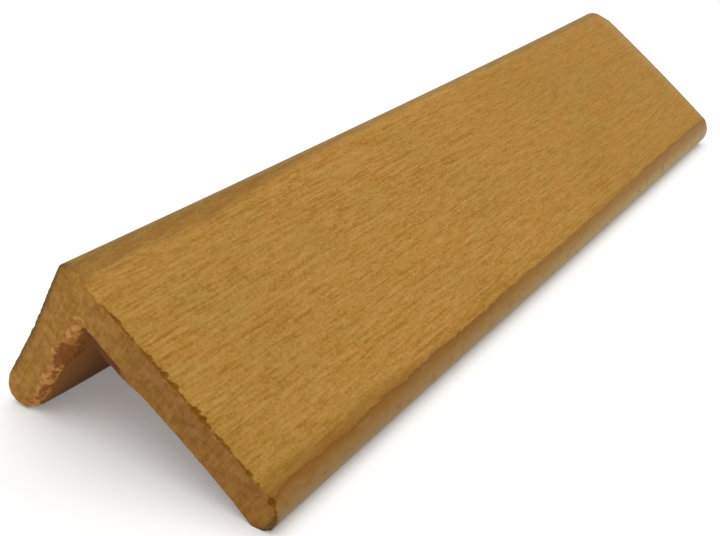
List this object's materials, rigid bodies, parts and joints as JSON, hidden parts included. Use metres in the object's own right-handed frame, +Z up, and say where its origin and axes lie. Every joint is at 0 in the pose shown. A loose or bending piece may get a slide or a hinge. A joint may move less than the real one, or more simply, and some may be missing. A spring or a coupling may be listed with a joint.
{
  "type": "l-shaped trim",
  "caption": "Short length of L-section composite edge trim with unequal legs, rounded outer corner and free edges and sawn ends; covers and protects an outside corner.",
  "frame": {"origin": "centre of the trim's footprint, on the floor that it lies on", "axes": "+Y along the length, +X towards the long leg's free edge, +Z up through the outer corner"},
  "size_m": [0.0648, 0.22, 0.0362],
  "materials": {
    "composite": "sanded flats with fine streaks along the length, smoother satin skin on rounded edges and inside"
  },
  "bodies": {
    "root": {"l_trim": "composite"}
  },
  "joints": []
}
